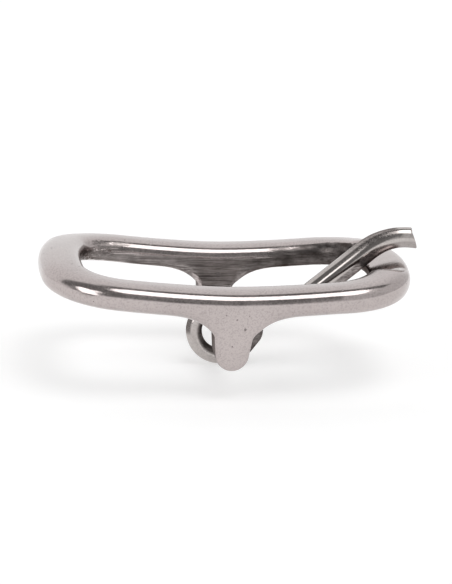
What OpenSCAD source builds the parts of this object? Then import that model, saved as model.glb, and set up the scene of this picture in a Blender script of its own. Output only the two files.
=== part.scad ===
// Centre-bar strap buckle with a dropped bar and a curled tongue.
// Millimetres. Origin at the middle of the centre bar's axis: +X towards the front
// end bar, where the tongue rests, Y along the bar, +Z up.

/* [Frame] */
// Overall length of the frame
frame_l = 60; // [56:0.5:66]
// Overall width of the frame
frame_w = 40.5; // [38:0.5:44]
// Width of a side rail, seen from above
rail_w = 7.5; // [6.5:0.1:8]
// Width of an end bar, seen from above
end_w = 6.9; // [6:0.1:7.5]
// Thickness of the rails and end bars
rail_h = 4.5; // [4.2:0.05:5]
// Radius of the centreline at the corners
corner_r = 9.5; // [8.5:0.1:11]
// Radius of the centreline along the end bars
end_r = 52; // [45:1:70]
// How far the ends stand above the middle of the side rails
end_rise = 2.05; // [1.5:0.05:2.5]
// Extra height at the middle of each end bar
end_crown = 0.5; // [0.2:0.05:0.7]

/* [Lugs] */
// Height of the rail centreline above the bar's axis, at mid-length
bar_drop = 7.45; // [7:0.05:8]
// Radius of the round lower end of a lug
lug_r = 2.6; // [2.4:0.05:2.8]
// Height of the fillet on the front side of a lug
front_fillet_h = 3.3; // [3:0.1:3.8]
// Length of that fillet along the rail
front_fillet_l = 8.3; // [7.5:0.1:9]
// Height of the fillet on the rear side of a lug
rear_fillet_h = 2.7; // [2.4:0.1:3.3]
// Length of that fillet along the rail
rear_fillet_l = 7.2; // [6.5:0.1:8]
// Taper of a lug's front side
front_taper = 10; // [6:1:12]
// Taper of a lug's rear side
rear_taper = 4; // [3:1:8]

/* [Centre bar] */
// Diameter of the bar that the strap and the tongue are on
bar_d = 3; // [2.8:0.1:3.2]
// Depth to which the bar is set into each lug
bar_seat = 6; // [5:0.5:6.5]
// Press-fit interference on the diameter
press = 0.02; // [0:0.01:0.04]

/* [Tongue] */
// Inner radius of the eye that hangs on the bar
eye_r = 3.05; // [3:0.05:3.2]
// Wire thickness in the eye
eye_wire_d = 2.65; // [2.5:0.05:2.75]
// Wire thickness along the shank
shank_d = 3.9; // [3.7:0.05:4.1]
// Thickness at the tip
tip_d = 3.4; // [3.2:0.05:3.6]
// Angle at which the shank climbs to the front end bar
shank_angle = 40; // [39:0.5:40.5]
// Gap between the bar and the top of the eye
eye_play = 0.05; // [0.03:0.01:0.1]

/* [Hidden] */
sides = 24;                              // corners of each frame section
wire_sides = 20;                         // corners of each tongue section
rail_round = 0.8;                        // section exponent: 1 is an ellipse, 0 a rectangle
lug_round = 0.3;                         // the same for the lower half of a lug
square_from = 0.8;                       // drop by which a lug has its full squareness
front_square = 0.5;                      // share of that squareness under the front end
rise_power = 1.63;                       // how the rail curves up to the ends
seat_depth = 2.6;                        // depth of the tongue's seat at the inner edge
seat_in = 0.6;                           // how far the seat cuts back the inner wall
seat_half = 11.5;                        // half width of that seat along Y
seat_fade = 4.5;                         // length over which it runs out at each end
mid_x = (frame_l - end_w) / 2;           // centreline at the middle of an end bar
mid_y = (frame_w - rail_w) / 2;          // centreline of a side rail
end_cx = mid_x - end_r;                  // centre of the end bar's arc
corner_cy = mid_y - corner_r;            // centre of a corner arc
corner_cx = end_cx + sqrt(pow(end_r - corner_r, 2) - pow(corner_cy, 2));
end_half_angle = asin(corner_cy / (end_r - corner_r));
under_z = bar_drop - rail_h / 2;         // underside of the rail at mid-length
lug_in_y = mid_y - rail_w / 2;           // inner face of a lug

// ---- frame: one closed sweep round the outline, whose section drops to form the lugs ----

// One flank of a lug, as [x, drop] from the lug's bottom outwards to the rail. The fillet is a
// quarter of an ellipse, h high and l long, that starts where its slope is the flank's taper
function flank(taper, h, l) =
    let (a0 = atan(tan(taper) * h / l),
         line_z = under_z - h * (1 - sin(a0)),
         line_x = lug_r * cos(taper) + (line_z + lug_r * sin(taper)) * tan(taper))
    concat(
        [for (a = [90 : -12 : taper + 1]) [lug_r * cos(a), under_z + lug_r * sin(a)]],
        [[lug_r * cos(taper), under_z + lug_r * sin(taper)]],
        [for (i = [0 : 10])
            let (a = a0 + (90 - a0) * i / 10) [line_x + l * (cos(a0) - cos(a)), h * (1 - sin(a))]]);
// Straight rail between the end of a flank and the corner
function straight(x0) = [for (i = [1 : 4]) [x0 + (corner_cx - x0) * i / 4, 0]];
function flank_out(taper, h, l) =
    let (f = flank(taper, h, l)) concat(f, straight(f[len(f) - 1][0]));
function reversed(list) = [for (i = [len(list) - 1 : -1 : 0]) list[i]];
front_side = flank_out(front_taper, front_fillet_h, front_fillet_l);
rear_side = [for (p = flank_out(rear_taper, rear_fillet_h, rear_fillet_l)) [-p[0], p[1]]];
side = concat(reversed(rear_side), [for (i = [1 : len(front_side) - 1]) front_side[i]]);

// Half of the front end from the near corner to the far one: [x, y, nx, ny]
corner_step = (90 - end_half_angle) / 8;
function corner_pt(a) =
    [corner_cx + corner_r * cos(a), corner_cy + corner_r * sin(a), cos(a), sin(a)];
function end_pt(a) = [end_cx + end_r * cos(a), end_r * sin(a), cos(a), sin(a)];
function flip_y(p) = [p[0], -p[1], p[2], -p[3]];
function flip_xy(p) = [-p[0], -p[1], -p[2], -p[3]];
far_corner = [for (i = [0 : 7]) corner_pt(end_half_angle + i * corner_step)];
front_end = concat(
    reversed([for (p = far_corner) flip_y(p)]),
    [for (i = [-7 : 7]) end_pt(end_half_angle * i / 8)],
    far_corner);

// All stations: [x, y, nx, ny, drop]
function with_drop(p, d) = [p[0], p[1], p[2], p[3], d];
stations = concat(
    [for (s = side) [s[0], -mid_y, 0, -1, s[1]]],
    [for (p = front_end) with_drop(p, 0)],
    [for (s = reversed(side)) [s[0], mid_y, 0, 1, s[1]]],
    [for (p = front_end) with_drop(flip_xy(p), 0)]);

function ease(t) = let (c = max(0, min(1, t))) c * c * (3 - 2 * c);
function sgn(v) = v < 0 ? -1 : 1;
function curve(v, power) = sgn(v) * pow(abs(v), power);
function centre_z(x, y) =
    bar_drop + end_rise * pow(abs(x / mid_x), rise_power)
    + end_crown * (1 - pow(y / mid_y, 2)) * pow(abs(x / mid_x), 4);
// Share of the seat's depth at a station: 1 in the middle of the front end bar
function seat(x, y) = x > 0 ? ease((seat_half - abs(y)) / seat_fade) : 0;
function section_pt(st, a) =
    let (end_share = pow(abs(st[0] / mid_x), 3),
         half_w = (rail_w + (end_w - rail_w) * min(1, end_share)) / 2,
         front_share = front_square * ease((st[0] - 15) / 8),
         lug_share = max(front_share, min(1, st[4] / square_from)),
         power = sin(a) < 0 ? rail_round + (lug_round - rail_round) * lug_share : rail_round,
         across = curve(cos(a), power),
         seat_cut = sin(a) > 0 ? seat(st[0], st[1]) * seat_depth * (1 - across) / 2 * pow(sin(a), 0.5) : 0,
         out = across * half_w + seat(st[0], st[1]) * seat_in * max(0, -across),
         up = sin(a) < 0 ? curve(sin(a), power) * (rail_h / 2 + st[4])
                         : curve(sin(a), power) * rail_h / 2 - seat_cut)
    [st[0] + st[2] * out, st[1] + st[3] * out, centre_z(st[0], st[1]) + up];

// Closed loop of rings
module ring_sweep(rings) {
    n = len(rings);
    k = len(rings[0]);
    polyhedron(
        [for (r = rings) for (p = r) p],
        [for (i = [0 : n - 1]) for (j = [0 : k - 1])
            [i * k + j, i * k + (j + 1) % k, ((i + 1) % n) * k + (j + 1) % k, ((i + 1) % n) * k + j]],
        convexity = 8);
}

module bar_cylinder(d) {
    rotate([90, 0, 0]) cylinder(d = d, h = 2 * (lug_in_y + bar_seat), center = true, $fn = 64);
}

module frame() {
    color([0.72, 0.70, 0.69]) difference() {
        ring_sweep([for (st = stations) [for (j = [0 : sides - 1]) section_pt(st, 360 * (j + 0.5) / sides)]]);
        bar_cylinder(bar_d - press);
    }
}

module centre_bar() {
    color([0.66, 0.65, 0.64]) bar_cylinder(bar_d);
}

// ---- tongue: one wire swept along arcs and straights in the XZ plane ----

eye_mid_r = eye_r + eye_wire_d / 2;                    // centreline radius of the eye
eye_cz = bar_d / 2 + eye_play - eye_r;                 // the eye hangs on the bar
tail_flat = 0.8;                                       // short straight under the bar
tail_angle = 53.7;                                     // slope of the straight of the tail
tail_straight = 1.95;                                  // straight of the tail
tail_bend_r = 1.6;                                     // last bend of the tail, to vertical
run_l = 10.3;                                          // level run from over the bar
run_bend_r = 6;                                        // bend from the run to the shank
shank_l = 12.5;                                        // straight of the shank
tip_bend_r = 10;                                       // bend over the front end bar
tip_turn = 45;                                         // how far that bend turns the wire
tip_l = 0.55;                                          // straight after it
tip_cut = 20;                                          // heading that the tip's end face is square to
seam = 0.2;                                            // gap between tail end and run

// A path is a list of [x, z, heading]; each piece appends to it
function last(p) = p[len(p) - 1];
function go(p, l, n) =
    let (s = last(p)) concat(p, [for (i = [1 : n])
        [s[0] + l * i / n * cos(s[2]), s[1] + l * i / n * sin(s[2]), s[2]]]);
// turn > 0 bends to the left of the heading
function bend(p, r, turn, n) =
    let (s = last(p), q = sgn(turn)) concat(p, [for (i = [1 : n])
        let (h = s[2] + turn * i / n)
        [s[0] + q * r * (sin(h) - sin(s[2])), s[1] - q * r * (cos(h) - cos(s[2])), h]]);

eye_top = [0, eye_cz + eye_mid_r, 0];
shank_path = go(bend(go(bend(go([eye_top], run_l, 6), run_bend_r, shank_angle, 6),
    shank_l, 6), tip_bend_r, -tip_turn, 9), tip_l, 1);
tip_end = [last(shank_path)[0], last(shank_path)[1], tip_cut];
// The eye and tail run the other way round: over, down the rear side and under the bar
tail_bent = bend(go(bend(go(bend([[0, eye_cz + eye_mid_r, 180]], eye_mid_r, 180, 18),
    tail_flat, 1), eye_mid_r, tail_angle, 6), tail_straight, 2), tail_bend_r, 90 - tail_angle, 4);
tail_path = go(tail_bent, eye_top[1] - eye_wire_d / 2 - 0.1 - seam - last(tail_bent)[1], 2);
wire_path = concat(
    [for (i = [len(tail_path) - 1 : -1 : 1]) [tail_path[i][0], tail_path[i][1], tail_path[i][2] + 180]],
    [for (i = [0 : len(shank_path) - 2]) shank_path[i]],
    [tip_end]);

// Thickness grows from the eye to the shank and falls again to the tip
function wire_d(x) =
    eye_wire_d + (shank_d - eye_wire_d) * ease((x - 4) / 12) - (shank_d - tip_d) * ease((x - 22) / 7);
eye_start = len(tail_path) - 1;                        // first station of the shank
function wire_ring(i) =
    let (s = wire_path[i], d = i < eye_start ? eye_wire_d : wire_d(s[0]))
    [for (j = [0 : wire_sides - 1])
        let (a = 360 * j / wire_sides)
        [s[0] - d / 2 * cos(a) * sin(s[2]), d / 2 * sin(a), s[1] + d / 2 * cos(a) * cos(s[2])]];

module tongue() {
    n = len(wire_path);
    k = wire_sides;
    color([0.62, 0.61, 0.60]) polyhedron(
        [for (i = [0 : n - 1]) for (p = wire_ring(i)) p],
        concat(
            [[for (j = [k - 1 : -1 : 0]) j]],
            [for (i = [0 : n - 2]) for (j = [0 : k - 1])
                [i * k + j, i * k + (j + 1) % k, (i + 1) * k + (j + 1) % k, (i + 1) * k + j]],
            [[for (j = [0 : k - 1]) (n - 1) * k + j]]),
        convexity = 6);
}

frame();
centre_bar();
tongue();
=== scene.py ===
import math

import bpy
import numpy as np
from mathutils import Matrix, Vector


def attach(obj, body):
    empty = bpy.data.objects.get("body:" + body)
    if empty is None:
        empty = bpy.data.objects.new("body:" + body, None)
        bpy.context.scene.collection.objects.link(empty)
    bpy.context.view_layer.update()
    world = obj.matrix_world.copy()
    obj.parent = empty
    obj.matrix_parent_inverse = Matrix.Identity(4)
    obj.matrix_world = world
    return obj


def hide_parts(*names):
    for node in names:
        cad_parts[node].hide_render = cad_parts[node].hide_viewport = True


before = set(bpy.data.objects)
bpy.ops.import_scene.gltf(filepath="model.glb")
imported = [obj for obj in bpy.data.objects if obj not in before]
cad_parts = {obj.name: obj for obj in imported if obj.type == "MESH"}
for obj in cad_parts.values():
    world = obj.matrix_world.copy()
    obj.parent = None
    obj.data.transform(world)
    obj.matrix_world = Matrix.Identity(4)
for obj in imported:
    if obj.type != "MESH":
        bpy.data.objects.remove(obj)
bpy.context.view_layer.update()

MM = 0.001
scene = bpy.context.scene

# ---------------------------------------------------------------- measures, as in the CAD, mm
FRAME_L, FRAME_W = 60.0, 40.5
RAIL_W, END_W, RAIL_H = 7.5, 6.9, 4.5
CORNER_R, END_R = 9.5, 52.0
END_RISE, END_CROWN, RISE_POWER = 2.05, 0.5, 1.63
BAR_DROP, LUG_R = 7.45, 2.6
FRONT_FILLET_H, FRONT_FILLET_L = 3.3, 8.3
REAR_FILLET_H, REAR_FILLET_L = 2.7, 7.2
FRONT_TAPER, REAR_TAPER = 10.0, 4.0
BAR_D = 3.0
EYE_R, EYE_WIRE = 3.05, 2.65
SHANK_D, TIP_D, SHANK_ANGLE, EYE_PLAY = 3.9, 3.4, 40.0, 0.05
RAIL_ROUND = 0.8                              # section exponent: 1 is an ellipse, 0 a rectangle
SEAT_DEPTH, SEAT_IN, SEAT_HALF, SEAT_FADE = 2.6, 0.6, 11.5, 4.5

# ---------------------------------------------------------------- measures of the visual only, mm
SKIN = 0.03                                   # the frame's skin lies this far inside the CAD faces
WIRE_SKIN = 0.005                             # and so do the skins of the bar and the tongue
EDGE = 0.75                                   # edge round of the lugs
LUG_BLEND = 1.8                               # drop over which the rail's section becomes the lug's
FRONT_SQUARE = 0.55                           # share of the lug's section under the front end
SQUARE_FROM, SQUARE_RUN = 15.0, 8.0           # where that share begins and how it grows
ROUND_STEPS, SLOPE_STEPS, FILLET_STEPS, STRAIGHT_STEPS = 56, 12, 90, 24
CORNER_STEPS, END_STEPS, SECTION_STEPS = 56, 110, 81

MID_X = (FRAME_L - END_W) / 2
MID_Y = (FRAME_W - RAIL_W) / 2
END_CX = MID_X - END_R
CORNER_CY = MID_Y - CORNER_R
CORNER_CX = END_CX + math.sqrt((END_R - CORNER_R) ** 2 - CORNER_CY ** 2)
END_HALF = math.degrees(math.asin(CORNER_CY / (END_R - CORNER_R)))
UNDER_Z = BAR_DROP - RAIL_H / 2
LUG_IN_Y = MID_Y - RAIL_W / 2


def smooth(t):
    t = np.clip(t, 0.0, 1.0)
    return t * t * (3 - 2 * t)


def rise(value, start, run):
    """0 up to the start, then smoothly to 1 over the run."""
    return smooth((value - start) / run)


def fall(value, end, run):
    """Smoothly from 1 to 0 over the run that stops at the end."""
    return smooth((end - value) / run)


# ---------------------------------------------------------------- meshes
def add_mesh(name, verts_mm, faces, floats=None):
    """A smooth object from vertices in mm, with faces turned outwards and named float attributes."""
    quads = np.array([f for f in faces if len(f) == 4])
    a, b, c, d = (verts_mm[quads[:, i]] for i in range(4))
    if np.einsum("ij,ij->i", a + b + c + d, np.cross(c - a, d - b)).sum() < 0:      # inside out
        faces = [f[::-1] for f in faces]
    mesh = bpy.data.meshes.new(name)
    mesh.from_pydata((verts_mm * MM).tolist(), [], faces)
    mesh.validate()
    mesh.polygons.foreach_set("use_smooth", [True] * len(mesh.polygons))
    for key, values in (floats or {}).items():
        attribute = mesh.attributes.new(key, "FLOAT", "POINT")
        attribute.data.foreach_set("value", np.asarray(values, np.float32))
    mesh.update()
    obj = bpy.data.objects.new(name, mesh)
    scene.collection.objects.link(obj)
    return obj


def ring_faces(n, k, closed):
    """Quads between n rings of k points, closed when the last ring joins the first."""
    faces = []
    for i in range(n if closed else n - 1):
        a, b = i * k, ((i + 1) % n) * k
        faces += [(a + j, a + (j + 1) % k, b + (j + 1) % k, b + j) for j in range(k)]
    return faces


def end_caps(n, k):
    return [tuple(range(k))[::-1], tuple((n - 1) * k + j for j in range(k))]


def flank(taper, h, l):
    """One side of a lug as [x, drop, mx, mz], m being the outline's outward normal."""
    t = math.radians(taper)
    a0 = math.atan(math.tan(t) * h / l)
    line_z = UNDER_Z - h * (1 - math.sin(a0))
    line_x = LUG_R * math.cos(t) + (line_z + LUG_R * math.sin(t)) * math.tan(t)
    out = []
    for a in np.radians(np.linspace(90, taper, ROUND_STEPS)):
        out.append((LUG_R * math.cos(a), UNDER_Z + LUG_R * math.sin(a), math.cos(a), -math.sin(a)))
    x0, d0 = out[-1][:2]
    x1, d1 = line_x, UNDER_Z - line_z
    for s in np.linspace(0, 1, SLOPE_STEPS)[1:]:
        out.append((x0 + (x1 - x0) * s, d0 + (d1 - d0) * s, math.cos(t), -math.sin(t)))
    for a in np.linspace(a0, math.pi / 2, FILLET_STEPS)[1:]:
        size = math.hypot(math.cos(a), math.sin(a) * l / h)
        out.append((line_x + l * (math.cos(a0) - math.cos(a)), h * (1 - math.sin(a)),
                    math.cos(a) / size, -math.sin(a) * l / h / size))
    for x in np.linspace(out[-1][0], CORNER_CX, STRAIGHT_STEPS)[1:]:
        out.append((x, 0.0, 0.0, -1.0))
    return np.array(out)


def frame_stations():
    """Rows of [x, y, nx, ny, drop, mx, mz] round the outline, the near side first."""
    front = flank(FRONT_TAPER, FRONT_FILLET_H, FRONT_FILLET_L)
    rear = flank(REAR_TAPER, REAR_FILLET_H, REAR_FILLET_L) * [-1, 1, -1, 1]
    side = np.vstack([rear[::-1], front[1:]])
    corner = [(CORNER_CX + CORNER_R * math.cos(a), CORNER_CY + CORNER_R * math.sin(a),
               math.cos(a), math.sin(a))
              for a in np.radians(np.linspace(END_HALF, 90, CORNER_STEPS)[:-1])]
    end = [(END_CX + END_R * math.cos(a), END_R * math.sin(a), math.cos(a), math.sin(a))
           for a in np.radians(np.linspace(-END_HALF, END_HALF, END_STEPS)[1:-1])]
    cap = [(x, -y, nx, -ny) for x, y, nx, ny in corner[::-1]] + end + corner
    rows = [(x, -MID_Y, 0, -1, d, mx, mz) for x, d, mx, mz in side]
    rows += [(*c, 0, 0, -1) for c in cap]
    rows += [(x, MID_Y, 0, 1, d, mx, mz) for x, d, mx, mz in side[::-1]]
    rows += [(-c[0], -c[1], -c[2], -c[3], 0, 0, -1) for c in cap]
    return np.array(rows, float)


def curve(v, power):
    """Power that keeps the sign, for sections between an ellipse and a rectangle."""
    return np.sign(v) * np.abs(v) ** power


def frame_surface():
    """Vertices of the frame as rings: an oval rail whose lower half grows into the two lugs.

    With them, at each vertex: how far across the rail it lies, its height over the section's
    middle, and two masks. One marks the lugs' flank walls for painted shade, the other the edge
    along the rear flanks, kept lighter as a painted highlight.
    """
    st = frame_stations()
    x, y, nx, ny, drop, mx, mz = [st[:, i:i + 1] for i in range(7)]
    half_w = (RAIL_W + (END_W - RAIL_W) * np.minimum(1, np.abs(x / MID_X) ** 3)) / 2 - SKIN
    half_h = RAIL_H / 2 - SKIN
    centre = (BAR_DROP + END_RISE * np.abs(x / MID_X) ** RISE_POWER
              + END_CROWN * (1 - (y / MID_Y) ** 2) * (x / MID_X) ** 4)
    seat = np.where(x > 0, fall(np.abs(y), SEAT_HALF, SEAT_FADE), 0)

    # upper half, from the outer side over the top to the inner side; the seat's cut fades out right
    # at the inner side, which leaves a thin lip there
    upper_a = np.radians(np.linspace(0, 180, SECTION_STEPS))[None, :]
    across = curve(np.cos(upper_a), RAIL_ROUND)
    seat_cut = seat * SEAT_DEPTH * (1 - across) / 2 * np.sqrt(np.clip(np.sin(upper_a), 0, 1))
    out_u = across * half_w + seat * SEAT_IN * np.maximum(0, -across)
    up_u = curve(np.sin(upper_a), RAIL_ROUND) * half_h - seat_cut

    # lower half as a rail, from the inner side under to the outer side
    n_side, n_edge, n_base = 26, 12, 14
    count = 2 * (n_side + n_edge + n_base)
    lower_a = np.radians(180 + 180 * np.arange(1, count) / count)[None, :]
    across = curve(np.cos(lower_a), RAIL_ROUND)
    out_r = across * half_w + seat * SEAT_IN * np.maximum(0, -across)
    up_r = curve(np.sin(lower_a), RAIL_ROUND) * (half_h + drop)

    # lower half as a lug: side face, edge round and base, and the same mirrored
    side = np.arange(1, n_side + 1) / n_side
    edge = np.arange(1, n_edge + 1) / n_edge
    turn = np.radians(90 * np.arange(1, n_edge + 1) / n_edge)
    base = np.arange(1, n_base + 1) / n_base
    down = np.concatenate([side, np.ones(n_edge + n_base)])[None, :]
    inset = np.concatenate([np.full(n_side, EDGE), EDGE * (1 - np.sin(turn)), np.zeros(n_base)])[None, :]
    edge_y = np.concatenate([np.zeros(n_side), EDGE * (1 - np.cos(turn)), np.full(n_base, EDGE)])[None, :]
    base_y = np.concatenate([np.zeros(n_side + n_edge), base])[None, :]
    lug_out = -(half_w - edge_y - base_y * (half_w - EDGE))
    lug_up = -(half_h + drop) * down - mz * inset * down
    lug_x = -mx * inset * down
    mirror = slice(-2, None, -1)
    out_l = np.concatenate([lug_out, -lug_out[:, mirror]], 1)
    out_l = out_l + seat * SEAT_IN * np.maximum(0, -out_l / half_w)
    up_l = np.concatenate([lug_up, lug_up[:, mirror]], 1)
    dx_l = np.concatenate([lug_x, lug_x[:, mirror]], 1)

    lug = np.maximum(smooth(drop / LUG_BLEND), FRONT_SQUARE * rise(x, SQUARE_FROM, SQUARE_RUN))
    out = np.concatenate([out_u, out_r + (out_l - out_r) * lug], 1)
    up = np.concatenate([up_u, up_r + (up_l - up_r) * lug], 1)
    dx = np.concatenate([np.zeros_like(out_u), dx_l * lug], 1)
    verts = np.stack([x + nx * out + dx, y + ny * out, centre + up], -1)

    def lug_mask(on_side, on_edge, on_base):
        half = np.concatenate([on_side, on_edge, on_base])
        return np.concatenate([np.zeros(SECTION_STEPS), half, half[mirror]])[None, :] * lug

    # painted shade on the lugs' flank walls
    flank_shade = lug_mask(np.zeros(n_side), smooth(edge * 2.5 - 1.5), np.ones(n_base))
    flank_shade = flank_shade * smooth(np.abs(mx) * 1.6 - 0.2)
    # painted highlight: the edge along the rear flanks is kept lighter
    edge_highlight = lug_mask(rise(side, 0.86, 0.1), 1 - smooth(edge * 2 - 1), np.zeros(n_base))
    edge_highlight = edge_highlight * smooth(-mx * 2 - 0.1)
    return verts, out / half_w, up, flank_shade, edge_highlight


def frame_darkening_and_shade(x, across, up, flank_shade, edge_highlight):
    """How much the metal is darkened and blackened: darker inner faces away from the middle,
    painted shade on the lugs' flank walls, and a painted highlight kept along the rear flanks' edge.

    x and up are in mm, across is 1 at the outer side of the rail and -1 at the inner side.
    """
    inner_side = rise(-across, 0.45, 0.4)
    darkening_and_shade = inner_side * fall(up, 0.9, 1.4) * (1 - 0.35 * fall(x, -9, 8))
    streaked = 0.55 * fall(x, -11.5, 4) * rise(x, -24, 4) + 0.6 * rise(x, 6, 4)
    streaked += 0.4 * rise(x, 13, 3)
    darkening_and_shade = np.maximum(darkening_and_shade, inner_side * streaked * fall(up, 2.2, 0.5))
    # painted shade on the lugs' flank walls, spared along the rear flanks' edge as a painted highlight
    darkening_and_shade = np.maximum(darkening_and_shade * (1 - 0.6 * edge_highlight), 0.9 * flank_shade)
    blackening_and_shade = inner_side * (0.9 * rise(x, 3, 5) + 0.4 * fall(x, -8, 6) + 0.5 * fall(x, -21, 2))
    return darkening_and_shade, blackening_and_shade


# ---- frame
verts, *measures = frame_surface()
flat = verts.reshape(-1, 3)
# the frame's darker inner faces, and painted shade on its lugs' flank walls
darkening_and_shade, blackening_and_shade = frame_darkening_and_shade(flat[:, 0], *[values.reshape(-1) for values in measures])
frame_faces = ring_faces(verts.shape[0], verts.shape[1], True)
frame_obj = add_mesh("frame_casting", flat, frame_faces, {"darkening_and_shade_mask": darkening_and_shade, "blackening_and_shade_mask": blackening_and_shade})

# ---- centre bar: a plain round bar whose ends are hidden in the lugs
BAR_SEGMENTS, BAR_RINGS, BAR_HIDDEN = 96, 60, 0.4
bar_reach = LUG_IN_Y + BAR_HIDDEN
bar_r = BAR_D / 2 - WIRE_SKIN
bar_a = np.radians(np.arange(BAR_SEGMENTS) * 360 / BAR_SEGMENTS)
bar_rings = [np.stack([bar_r * np.cos(bar_a), np.full(BAR_SEGMENTS, y), -bar_r * np.sin(bar_a)], 1)
             for y in np.linspace(-bar_reach, bar_reach, BAR_RINGS)]
bar_faces = ring_faces(BAR_RINGS, BAR_SEGMENTS, False) + end_caps(BAR_RINGS, BAR_SEGMENTS)
bar_obj = add_mesh("centre_bar_rod", np.vstack(bar_rings), bar_faces)

# ---- tongue: one wire along arcs and straights in the XZ plane
EYE_MID = EYE_R + EYE_WIRE / 2
EYE_CZ = BAR_D / 2 + EYE_PLAY - EYE_R
TAIL_FLAT, TAIL_ANGLE, TAIL_STRAIGHT, TAIL_BEND_R = 0.8, 53.7, 1.95, 1.6
RUN_L, RUN_BEND_R, SHANK_L, TIP_BEND_R, TIP_TURN = 10.3, 6.0, 12.5, 10.0, 45.0
TIP_L = 0.35                                  # shorter than the CAD's, to stay inside its box
TIP_CUT = 20.0                                # heading that the tip's end face is square to
TAIL_MARGIN, SEAM = 0.1, 0.2                  # together the gap between the tail's end and the run
SWELL_FROM, SWELL_RUN = 4, 12                 # where the wire thickens to the shank
THIN_FROM, THIN_RUN = 22, 7                   # and where it thins again to the tip
TAIL_EDGE = 0.25                              # round of the tail's cut end
TIP_EDGE, TIP_TOP_EDGE, TIP_SINK = 0.12, 0.32, 0.04      # round of the tip, and more of it on top
WIRE_SEGMENTS = 72
CAP_TURN = np.radians(np.linspace(0, 90, 7))  # steps of the round of a cut end
CAP_DISCS = (0.7, 0.4, 0.1)                   # rings of its flat face, as shares of the radius


def go(path, length, n):
    """The path of [x, z, heading] with a straight added to it."""
    x, z, h = path[-1]
    c, s = math.cos(math.radians(h)), math.sin(math.radians(h))
    return path + [(x + length * i / n * c, z + length * i / n * s, h) for i in range(1, n + 1)]


def bend(path, r, turn, n):
    """The path with an arc added to it; a turn over 0 bends to the left of the heading."""
    x, z, h = path[-1]
    q = -1 if turn < 0 else 1
    h0 = math.radians(h)
    out = []
    for i in range(1, n + 1):
        a = math.radians(h + turn * i / n)
        out.append((x + q * r * (math.sin(a) - math.sin(h0)), z - q * r * (math.cos(a) - math.cos(h0)),
                    h + turn * i / n))
    return path + out


shank = go([(0, EYE_CZ + EYE_MID, 0)], RUN_L, 24)
shank = go(bend(shank, RUN_BEND_R, SHANK_ANGLE, 30), SHANK_L, 30)
shank = go(bend(shank, TIP_BEND_R, -TIP_TURN, 40), TIP_L, 1)
tail = bend([(0, EYE_CZ + EYE_MID, 180)], EYE_MID, 180, 90)
tail = bend(go(tail, TAIL_FLAT, 2), EYE_MID, TAIL_ANGLE, 28)
tail = bend(go(tail, TAIL_STRAIGHT, 6), TAIL_BEND_R, 90 - TAIL_ANGLE, 16)
tail = go(tail, EYE_CZ + EYE_MID - EYE_WIRE / 2 - TAIL_MARGIN - SEAM - tail[-1][1], 8)
path = [(x, z, h + 180) for x, z, h in tail[:0:-1]] + shank
eye_start = len(tail) - 1


def wire_r(i, x):
    """Radius of the wire: even round the eye, thicker along the shank, thinner at the tip."""
    d = EYE_WIRE
    if i >= eye_start:
        d = (EYE_WIRE + (SHANK_D - EYE_WIRE) * rise(x, SWELL_FROM, SWELL_RUN)
             - (SHANK_D - TIP_D) * rise(x, THIN_FROM, THIN_RUN))
    return float(d) / 2 - WIRE_SKIN


ring_a = np.radians(np.arange(WIRE_SEGMENTS) * 360 / WIRE_SEGMENTS)


def wire_ring(x, z, heading, r):
    h = math.radians(heading)
    return np.stack([x - r * np.cos(ring_a) * math.sin(h), r * np.sin(ring_a),
                     z + r * np.cos(ring_a) * math.cos(h)], 1)


def tail_cap(x, z, heading):
    """Rings of the tail's cut end, from the full section over a round edge to a small disc."""
    h = math.radians(heading)
    r = EYE_WIRE / 2 - WIRE_SKIN
    out = []
    for t in CAP_TURN:
        back = TAIL_EDGE * (math.sin(t) - 1)
        out.append(wire_ring(x - math.cos(h) * back, z - math.sin(h) * back, heading,
                             r - TAIL_EDGE * (1 - math.cos(t))))
    for share in CAP_DISCS:
        out.append(wire_ring(x, z, heading, (r - TAIL_EDGE) * share))
    return out


def tip_cap(x, z, heading):
    """Rings of the tip's slanted cut; each point slides along the wire to the cut plane."""
    h, cut = math.radians(heading), math.radians(TIP_CUT)
    along = np.array([math.cos(h), 0, math.sin(h)])
    cut_n = np.array([math.cos(cut), 0, math.sin(cut)])
    upper = smooth(np.cos(ring_a))
    edge = TIP_EDGE + TIP_TOP_EDGE * upper
    r = TIP_D / 2 - WIRE_SKIN - TIP_SINK * upper

    def slid(radius, back):
        ring = wire_ring(x, z, heading, radius)
        slide = -((ring - np.array([x, 0, z])) @ cut_n) / (along @ cut_n) + back
        return ring + slide[:, None] * along

    out = [slid(r - edge * (1 - math.cos(t)), edge * (math.sin(t) - 1)) for t in CAP_TURN]
    return out + [slid((r - edge) * share, 0.0) for share in CAP_DISCS]


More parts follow.
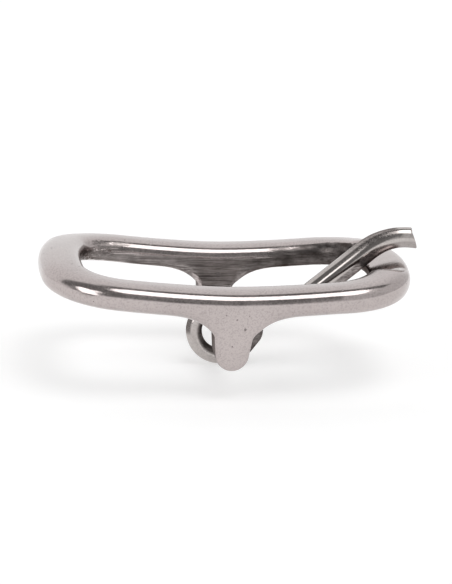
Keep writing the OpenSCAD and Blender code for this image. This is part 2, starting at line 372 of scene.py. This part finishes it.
def tongue_painted_shade(rings, n_tail):
    """Painted shade on the wire, and how much of it is blackened: inside the eye, on the tail's cut
    end and under the shank, with a painted dark reflection on the eye's outside towards the rear
    and over the tip's bend and end.

    n_tail counts the rings of the tail and the eye. Places are ring numbers there and x in mm
    along the shank; inward is 0 on the outside of the eye or the top of the shank, and 1 opposite.
    """
    inward = 0.5 - 0.5 * np.cos(ring_a)
    darkening_and_shade = np.zeros((len(rings), WIRE_SEGMENTS))
    for i in range(n_tail):
        # painted shade inside the eye and on the tail's cut end, a painted dark reflection on the eye's
        # outside towards the rear
        inside_eye = rise(inward, 0.52, 0.3) * fall(i, n_tail, 20)
        cut_end = 0.9 * fall(i, 66, 14)
        back_of_eye = 0.8 * (rise(i, 105, 10) * fall(i, 150, 8)) * fall(inward, 0.34, 0.14)
        darkening_and_shade[i] = np.maximum(np.maximum(inside_eye, cut_end), back_of_eye)
    for i in range(n_tail, len(rings)):
        x = rings[i][:, 0].mean()
        # painted shade under the shank, a painted dark reflection over the tip's bend and end
        underside = rise(inward, 0.5, 0.14) * rise(x, 6, 8) * (1 - 0.5 * rise(x, 22, 5))
        over_bend = rise(x, 18, 7) * fall(x, 29.6, 1.4) + rise(x, 30.7, 0.5)
        darkening_and_shade[i] = np.maximum(underside, 0.7 * over_bend * fall(inward, 0.45, 0.3))
    # the eye and the tail are blackened where they carry painted shade
    blackening_and_shade = 0.85 * darkening_and_shade * (np.arange(len(rings)) < n_tail)[:, None]
    return darkening_and_shade.reshape(-1), blackening_and_shade.reshape(-1)


wire = [wire_ring(px, pz, ph, wire_r(i, px)) for i, (px, pz, ph) in enumerate(path)]
rings = tail_cap(*path[0])[::-1] + wire[2:-2] + tip_cap(*path[-1])
tongue_faces = ring_faces(len(rings), WIRE_SEGMENTS, False) + end_caps(len(rings), WIRE_SEGMENTS)
# painted shade and painted dark reflection on the wire
darkening_and_shade, blackening_and_shade = tongue_painted_shade(rings, eye_start - 1 + len(CAP_TURN) + len(CAP_DISCS))
tongue_obj = add_mesh("tongue_wire", np.vstack(rings), tongue_faces, {"darkening_and_shade_mask": darkening_and_shade, "blackening_and_shade_mask": blackening_and_shade})


# ---------------------------------------------------------------- materials
class Nodes:
    """Short forms for building a node tree."""

    def __init__(self, tree):
        self.tree = tree
        tree.nodes.clear()

    def new(self, kind, inputs=None, **props):
        node = self.tree.nodes.new(kind)
        for key, value in props.items():
            setattr(node, key, value)
        for key, value in (inputs or {}).items():
            if isinstance(value, bpy.types.NodeSocket):
                self.tree.links.new(value, node.inputs[key])
            else:
                node.inputs[key].default_value = value
        return node

    def math(self, op, a, b=0.0, c=0.0):
        return self.new("ShaderNodeMath", {0: a, 1: b, 2: c}, operation=op).outputs[0]

    def ramp(self, value, lo, hi, to_lo=0.0, to_hi=1.0, kind="SMOOTHSTEP"):
        return self.new("ShaderNodeMapRange", {"Value": value, "From Min": lo, "From Max": hi,
                                               "To Min": to_lo, "To Max": to_hi},
                        interpolation_type=kind, clamp=True).outputs[0]

    def mix(self, factor, a, b):
        node = self.new("ShaderNodeMix", data_type="RGBA")
        for socket, value in ((node.inputs[0], factor), (node.inputs[6], a), (node.inputs[7], b)):
            if isinstance(value, bpy.types.NodeSocket):
                self.tree.links.new(value, socket)
            else:
                socket.default_value = value
        return node.outputs[2]

    def noise(self, coords, scale, detail=2.0, stretch=(1, 1, 1), rough=0.5):
        mapped = self.new("ShaderNodeMapping", {"Vector": coords, "Scale": stretch}).outputs[0]
        return self.new("ShaderNodeTexNoise", {"Vector": mapped, "Scale": scale, "Detail": detail,
                                               "Roughness": rough}).outputs[0]


# colours of the darkened metal: painted shade on the tongue and the lugs' flank walls, painted dark
# reflection on the tongue, a darker tone on the frame's inner faces
SHADE_AND_DARK_LOW, SHADE_AND_DARK_HIGH = (0.12, 0.103, 0.1, 1), (0.43, 0.39, 0.378, 1)
SHADE_AND_BLACK = (0.055, 0.047, 0.044, 1)
SHADE_AND_DARK_TINT = (0.3, 0.27, 0.26, 1)             # keeps the darkened metal and its painted shade dark at glancing angles
BUMP_DEPTH = 0.000012


def casting_pits(n, coords, share, spots):
    """Mask of tiny pits in some of the cells of a pattern, and of larger ones at given spots."""
    cells = n.new("ShaderNodeTexVoronoi", {"Vector": coords, "Scale": 900.0, "Randomness": 1.0})
    chance = n.new("ShaderNodeSeparateColor", {"Color": cells.outputs["Color"]}).outputs[0]
    pick = n.ramp(chance, 1 - share, 1 - share + 0.005, kind="LINEAR")
    pit = n.math("MULTIPLY", n.ramp(cells.outputs["Distance"], 0.10, 0.2, 1.0, 0.0), pick)
    for place, radius in spots:
        away = n.new("ShaderNodeVectorMath", {0: coords, 1: tuple(v * MM for v in place)},
                     operation="DISTANCE").outputs["Value"]
        pit = n.math("MAXIMUM", pit, n.ramp(away, radius * MM * 0.6, radius * MM, 1.0, 0.0))
    return pit


def shade_and_darkening_layer(n, coords, inner):
    """Mask, colour and brushed grain of the darkened metal and its painted shade."""
    mask = n.new("ShaderNodeAttribute", attribute_name="darkening_and_shade_mask").outputs["Fac"]
    brushed = n.noise(coords, 2600, 4, (0.05, 1, 1.6), rough=0.7)
    patches = n.noise(coords, 420, 4, (0.6, 1, 1), rough=0.6)
    mask = n.math("ADD", mask, n.math("MULTIPLY", n.math("SUBTRACT", brushed, 0.5), 1.6 * inner))
    mask = n.ramp(mask, 0.38 * inner, 1 - 0.32 * inner)
    mask = n.math("MULTIPLY", mask, n.ramp(patches, 0.25, 0.5, 0.8, 1.0))
    blackening_and_shade = n.new("ShaderNodeAttribute", attribute_name="blackening_and_shade_mask").outputs["Fac"]
    blotch = n.ramp(n.noise(coords, 420, 4, (0.7, 1, 1), rough=0.65), 0.38, 0.62)
    blackening_and_shade = n.math("ADD", n.math("MULTIPLY", blackening_and_shade, 0.75), n.math("MULTIPLY", blotch, 0.3))
    colour = n.mix(n.ramp(brushed, 0.35, 0.65), SHADE_AND_DARK_LOW, SHADE_AND_DARK_HIGH)
    return mask, n.mix(blackening_and_shade, colour, SHADE_AND_BLACK), brushed


def steel(name, base, rough, grain_along=(1, 1, 1), inner=0.0, pits=0.05, spots=()):
    """Polished steel; inner over 0 adds the darkened areas and their painted shade, and more of it makes
    them patchier.
    """
    mat = bpy.data.materials.new(name)
    mat.use_nodes = True
    n = Nodes(mat.node_tree)
    coords = n.new("ShaderNodeTexCoord").outputs["Object"]
    haze = n.noise(coords, 160, 3)
    grain = n.noise(coords, 3600, 3, rough=0.65)
    lines = n.noise(coords, 1500, 3, grain_along)
    pit = casting_pits(n, coords, pits, spots)
    dark = [c * 0.45 for c in base] + [1]
    pale = [min(1, c * 1.06) for c in base] + [1]
    colour = n.mix(n.ramp(haze, 0.35, 0.65), (*base, 1), pale)
    colour = n.mix(n.ramp(grain, 0.34, 0.56, 0.3, 0.0), colour, dark)
    roughness = n.ramp(haze, 0.3, 0.7, rough * 0.8, rough * 1.25)
    roughness = n.math("ADD", roughness, n.ramp(grain, 0.35, 0.75, 0.0, 0.06))
    height = n.math("ADD", n.math("MULTIPLY", grain, 0.35), n.math("MULTIPLY", lines, 0.5))
    tint = (1, 1, 1, 1)
    # the darkened areas, painted shade among them, go over the polished colour and tint
    if inner:
        mask, shade_and_dark_colour, brushed = shade_and_darkening_layer(n, coords, inner)
        colour = n.mix(mask, colour, shade_and_dark_colour)
        tint = n.mix(mask, tint, SHADE_AND_DARK_TINT)
        roughness = n.math("ADD", roughness, n.math("MULTIPLY", mask, 0.22))
        height = n.math("ADD", height, n.math("MULTIPLY", n.math("MULTIPLY", brushed, mask), 1.4))
    colour = n.mix(n.math("MULTIPLY", pit, 0.8), colour, dark)
    roughness = n.math("ADD", roughness, n.math("MULTIPLY", pit, 0.3))
    height = n.math("SUBTRACT", height, n.math("MULTIPLY", pit, 4.0))
    # slow waves in the polished surface
    for scale, strength in ((330, 3.2), (1000, 0.9)):
        height = n.math("ADD", height, n.math("MULTIPLY", n.noise(coords, scale, 1), strength))
    bump = n.new("ShaderNodeBump", {"Strength": 0.5, "Distance": BUMP_DEPTH, "Height": height}).outputs[0]
    shader = n.new("ShaderNodeBsdfPrincipled", {"Base Color": colour, "Metallic": 1.0,
                                                "Roughness": roughness, "Normal": bump,
                                                "Specular Tint": tint})
    n.new("ShaderNodeOutputMaterial", {"Surface": shader.outputs[0]})
    return mat


# the larger casting pits: place and radius, mm; the last one is on the far lug
CAST_PITS = [((1.8, -20.2, 4.2), 0.26), ((0.5, -20.2, 5.7), 0.16), ((-0.1, -20.2, 1.5), 0.14),
             ((2.4, -20.2, 6.3), 0.12), ((-25.3, -8.0, 11.7), 0.3), ((0.6, 12.7, 5.0), 0.5)]
# inner adds the darkened areas: darker inner faces and painted flank shade on the frame, painted shade
# and painted dark reflection on the tongue
frame_mat = steel("frame_cast_stainless", (0.495, 0.44, 0.43), 0.13, (0.08, 1, 1), inner=1.0, pits=0.06,
                  spots=CAST_PITS)
bar_mat = steel("bar_stainless", (0.46, 0.44, 0.43), 0.2, (1, 0.08, 1), pits=0.02)
tongue_mat = steel("tongue_stainless", (0.50, 0.462, 0.445), 0.07, (1, 0.3, 1), inner=0.25, pits=0.02)

for obj, mat, body, node, slot in (
        (frame_obj, frame_mat, "frame", "frame", "frame_steel"),
        (bar_obj, bar_mat, "frame", "centre_bar", "bar_steel"),
        (tongue_obj, tongue_mat, "tongue", "tongue", "tongue_steel")):
    obj.data.materials.append(mat)
    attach(obj, body)
    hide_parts(node)

# ---------------------------------------------------------------- floor
FLOOR_HALF = 6                                # metres
FLOOR_GAP = 0.02                              # mm under the eye, the lowest point
floor_z = (EYE_CZ - EYE_MID - EYE_WIRE / 2 - FLOOR_GAP) * MM
floor_mesh = bpy.data.meshes.new("floor")
floor_mesh.from_pydata([(x * FLOOR_HALF, y * FLOOR_HALF, floor_z)
                        for x, y in ((1, 1), (-1, 1), (-1, -1), (1, -1))], [], [(0, 1, 2, 3)])
floor = bpy.data.objects.new("floor", floor_mesh)
scene.collection.objects.link(floor)
floor_mat = bpy.data.materials.new("floor_white")
floor_mat.use_nodes = True
n = Nodes(floor_mat.node_tree)
matte = n.new("ShaderNodeBsdfDiffuse", {"Color": (0.6, 0.6, 0.6, 1)})
glow = n.new("ShaderNodeEmission", {"Color": (1, 1, 1, 1), "Strength": 0.5})
white = n.new("ShaderNodeAddShader", {0: matte.outputs[0], 1: glow.outputs[0]})
# what the metal mirrors of the floor is dark at the far left, between two slanting lines, a painted dark
# reflection; in metres
place = n.new("ShaderNodeSeparateXYZ", {0: n.new("ShaderNodeTexCoord").outputs["Object"]}).outputs
front_line = n.math("SUBTRACT", place[1], n.math("MULTIPLY", place[0], 1.2))
back_line = n.math("SUBTRACT", place[1], n.math("MULTIPLY", place[0], 0.55))
dark_left = n.math("MULTIPLY", n.ramp(place[0], -0.11, -0.07, 1.0, 0.0), n.ramp(front_line, -0.03, 0.03))
dark_left = n.math("MULTIPLY", dark_left, n.ramp(back_line, -0.03, 0.01, 1.0, 0.0))
dim = n.new("ShaderNodeEmission", {"Color": (0.2, 0.2, 0.2, 1), "Strength": 1.0})
mirrored = n.math("MULTIPLY", dark_left, n.new("ShaderNodeLightPath").outputs["Is Glossy Ray"])
all_floor = n.new("ShaderNodeMixShader", {0: mirrored, 1: white.outputs[0], 2: dim.outputs[0]})
n.new("ShaderNodeOutputMaterial", {"Surface": all_floor.outputs[0]})
floor_mesh.materials.append(floor_mat)

# ---------------------------------------------------------------- studio light
world = bpy.data.worlds.new("studio")
scene.world = world
world.use_nodes = True
n = Nodes(world.node_tree)
ray = n.new("ShaderNodeTexCoord").outputs["Generated"]
dx, dy, dz = n.new("ShaderNodeSeparateXYZ", {0: ray}).outputs
# degrees from the front horizon, up and over: 90 is overhead and 180 the back horizon
over = n.math("MULTIPLY", n.math("ARCTAN2", dz, n.math("MULTIPLY", dy, -1.0)), 180 / math.pi)


def grey(v):
    return (v, v, v, 1)


def band(value, lo, hi, soft):
    """Mask of the values from lo to hi."""
    above, below = n.ramp(value, lo - soft, lo + soft), n.ramp(value, hi - soft, hi + soft, 1.0, 0.0)
    return n.math("MULTIPLY", above, below)


def panel(x0, x1, a0, a1, soft_x=0.05, soft_a=3.0):
    """Mask of a light panel: x0..x1 sideways, a0..a1 degrees up and over."""
    return n.math("MULTIPLY", band(dx, x0, x1, soft_x), band(over, a0, a1, soft_a))


def oval(x, a, half_x, half_a, soft=0.18):
    """Mask of an oval light."""
    u = n.math("DIVIDE", n.math("SUBTRACT", dx, x), half_x)
    v = n.math("DIVIDE", n.math("SUBTRACT", over, a), half_a)
    u2, v2 = (n.math("POWER", n.math("ABSOLUTE", part), 2.0) for part in (u, v))
    return n.ramp(n.math("ADD", u2, v2), 1 - soft, 1 + soft, 1.0, 0.0)


sky = n.mix(n.ramp(dx, 0.2, 0.7), grey(0.96), grey(0.76))
for mask, level in (
        (panel(-0.97, 0.165, 6, 108, 0.05, 6.0), 0.21),         # dark from the front to overhead
        (panel(0.165, 0.97, 6, 56, 0.05, 4.0), 0.68),           # paler at the front right
        (panel(-0.05, 0.62, 99, 117, 0.06, 2.5), 0.18),         # a dark strip behind overhead
        (oval(0.22, 79, 0.29, 21), 3.0),                        # the main light, overhead
        (panel(-0.97, -0.55, -9, 12, 0.05, 3.0), 0.21),         # dark low at the front left
        (oval(-0.72, 25, 0.15, 39), 3.2),                       # a tall light at the front left
        (panel(-0.62, -0.44, 33, 50, 0.04, 3.0), 2.4)):         # and a small one beside it
    sky = n.mix(mask, sky, grey(level))
lit = n.new("ShaderNodeBackground", {"Color": sky, "Strength": 1.0})
plain = n.new("ShaderNodeBackground", {"Color": (1, 1, 1, 1), "Strength": 1.0})
seen = n.new("ShaderNodeLightPath").outputs["Is Camera Ray"]
either = n.new("ShaderNodeMixShader", {0: seen, 1: lit.outputs[0], 2: plain.outputs[0]})
n.new("ShaderNodeOutputWorld", {"Surface": either.outputs[0]})
scene.view_settings.view_transform = "Standard"

# ---------------------------------------------------------------- camera
YAW, ELEVATION, ROLL, DISTANCE = 5.74, 13.5, 2.07, 246.9
LENS, SHIFT_X, SHIFT_Y = 119.9, 0.0086, -0.0324
ya, el, ro = math.radians(YAW), math.radians(ELEVATION), math.radians(ROLL)
right = Vector((math.cos(ya), -math.sin(ya), 0))
ahead = Vector((math.cos(el) * math.sin(ya), math.cos(el) * math.cos(ya), -math.sin(el)))
upward = right.cross(ahead)
cam_right = math.cos(ro) * right + math.sin(ro) * upward
cam_up = -math.sin(ro) * right + math.cos(ro) * upward
cam_data = bpy.data.cameras.new("camera")
cam_data.sensor_fit = "HORIZONTAL"
cam_data.sensor_width = 36
cam_data.lens = LENS
cam_data.shift_x, cam_data.shift_y = SHIFT_X, SHIFT_Y
cam_data.clip_start, cam_data.clip_end = 0.005, 50
camera = bpy.data.objects.new("camera", cam_data)
scene.collection.objects.link(camera)
spot = Vector((0, 0, BAR_DROP * MM)) - ahead * DISTANCE * MM
camera.matrix_world = Matrix((
    (cam_right[0], cam_up[0], -ahead[0], spot[0]),
    (cam_right[1], cam_up[1], -ahead[1], spot[1]),
    (cam_right[2], cam_up[2], -ahead[2], spot[2]),
    (0, 0, 0, 1)))
scene.camera = camera
